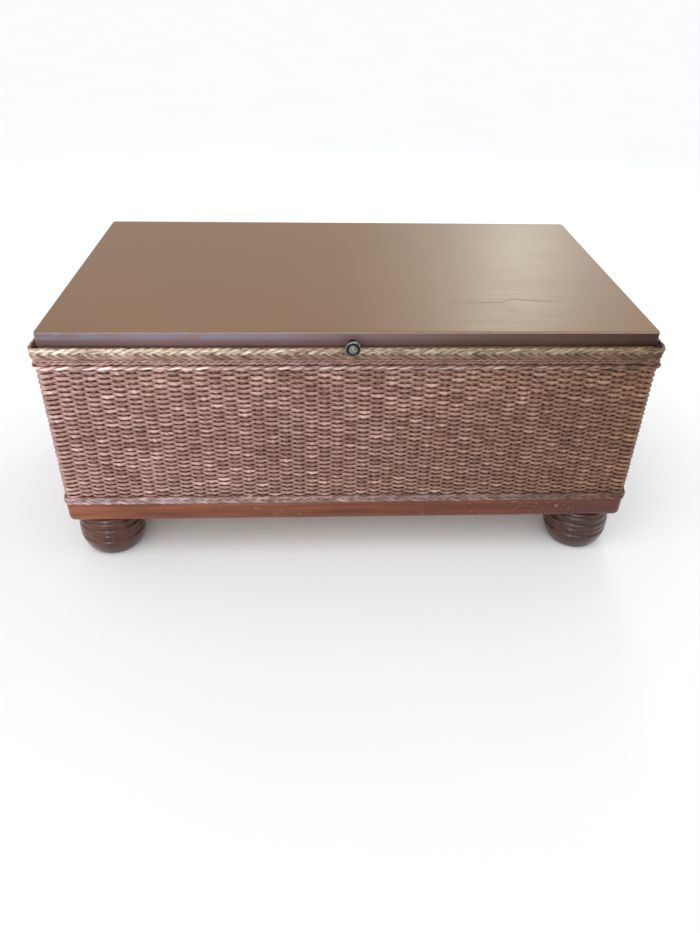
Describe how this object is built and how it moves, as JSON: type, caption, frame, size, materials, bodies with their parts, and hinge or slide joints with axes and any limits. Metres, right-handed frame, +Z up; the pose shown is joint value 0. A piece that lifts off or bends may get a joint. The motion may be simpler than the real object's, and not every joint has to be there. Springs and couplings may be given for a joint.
{
  "type": "wicker storage trunk",
  "caption": "Rectangular woven storage trunk on turned bun feet, with a flat covered lid that lifts on rear hinges and slotted stays, a front knob and plaited trim.",
  "frame": {"origin": "on the floor, under the middle of the closed trunk's bounding box", "axes": "+X along the trunk to the viewer's right, +Y from the front (knob side) to the back (hinge side), +Z up"},
  "size_m": [1.0792, 0.6658, 0.479],
  "materials": {
    "seagrass": "twisted seagrass cord in a plain weave, dry and matt",
    "straw_braid": "plaited and twisted straw-coloured seagrass",
    "leatherette": "brown leatherette, satin, worn along the front edge",
    "stained_wood": "red-brown stain under gloss lacquer",
    "frame_wood": "unfinished softwood",
    "plywood": "unfinished plywood",
    "lining_cloth": "black non-woven dust cloth",
    "aged_pewter": "dark antique pewter plating, worn bright on the rims",
    "zinc_steel": "zinc-plated steel",
    "brassed_steel": "brass-plated steel"
  },
  "bodies": {
    "case": {"foot_front_left": "stained_wood", "foot_front_right": "stained_wood", "foot_back_left": "stained_wood", "foot_back_right": "stained_wood", "foot_bolt_front_left": "zinc_steel", "foot_bolt_front_right": "zinc_steel", "foot_bolt_back_left": "zinc_steel", "foot_bolt_back_right": "zinc_steel", "corner_block_front_left": "frame_wood", "corner_block_front_right": "frame_wood", "corner_block_back_left": "frame_wood", "corner_block_back_right": "frame_wood", "plinth_front": "stained_wood", "plinth_back": "stained_wood", "plinth_left": "stained_wood", "plinth_right": "stained_wood", "bottom_panel": "plywood", "corner_post_front_left": "frame_wood", "corner_post_front_right": "frame_wood", "corner_post_back_left": "frame_wood", "corner_post_back_right": "frame_wood", "top_rail_front": "frame_wood", "top_rail_back": "frame_wood", "top_rail_left": "frame_wood", "top_rail_right": "frame_wood", "woven_panel_front": "seagrass", "woven_panel_back": "seagrass", "woven_panel_left": "seagrass", "woven_panel_right": "seagrass", "top_braid": "straw_braid", "upper_cord": "straw_braid", "base_braid": "straw_braid", "hinge_case_leaf_left": "brassed_steel", "hinge_pin_left": "brassed_steel", "hinge_case_screw_left_1": "brassed_steel", "hinge_case_screw_left_2": "brassed_steel", "stay_stud_left": "zinc_steel", "hinge_case_leaf_right": "brassed_steel", "hinge_pin_right": "brassed_steel", "hinge_case_screw_right_1": "brassed_steel", "hinge_case_screw_right_2": "brassed_steel", "stay_stud_right": "zinc_steel"},
    "lid": {"lid_cover": "leatherette", "lid_board": "plywood", "lid_lining": "lining_cloth", "lid_batten_left": "frame_wood", "lid_batten_right": "frame_wood", "knob": "aged_pewter", "knob_screw": "zinc_steel", "hinge_lid_leaf_left": "brassed_steel", "hinge_lid_screw_left_1": "brassed_steel", "hinge_lid_screw_left_2": "brassed_steel", "stay_pivot_left": "zinc_steel", "hinge_lid_leaf_right": "brassed_steel", "hinge_lid_screw_right_1": "brassed_steel", "hinge_lid_screw_right_2": "brassed_steel", "stay_pivot_right": "zinc_steel"},
    "stay_left": {"stay_arm_left": "zinc_steel"},
    "stay_right": {"stay_arm_right": "zinc_steel"}
  },
  "joints": [
    {"name": "lid_hinge", "type": "hinge", "parent": "case", "child": "lid", "pos_m": [0, 0.32265, 0.4535], "axis": [-1, 0, 0], "range_deg": [0, 95]},
    {"name": "stay_pivot_left", "type": "hinge", "parent": "lid", "child": "stay_left", "pos_m": [-0.495, 0.18318, 0.4413], "axis": [1, 0, 0], "range_deg": [0, 47.5]},
    {"name": "stay_pivot_right", "type": "hinge", "parent": "lid", "child": "stay_right", "pos_m": [0.495, 0.18318, 0.4413], "axis": [1, 0, 0], "range_deg": [0, 47.5]}
  ],
  "couplings": [
    {"joint": "stay_pivot_left", "follows": "lid_hinge", "ratio": 0.5},
    {"joint": "stay_pivot_right", "follows": "lid_hinge", "ratio": 0.5}
  ]
}
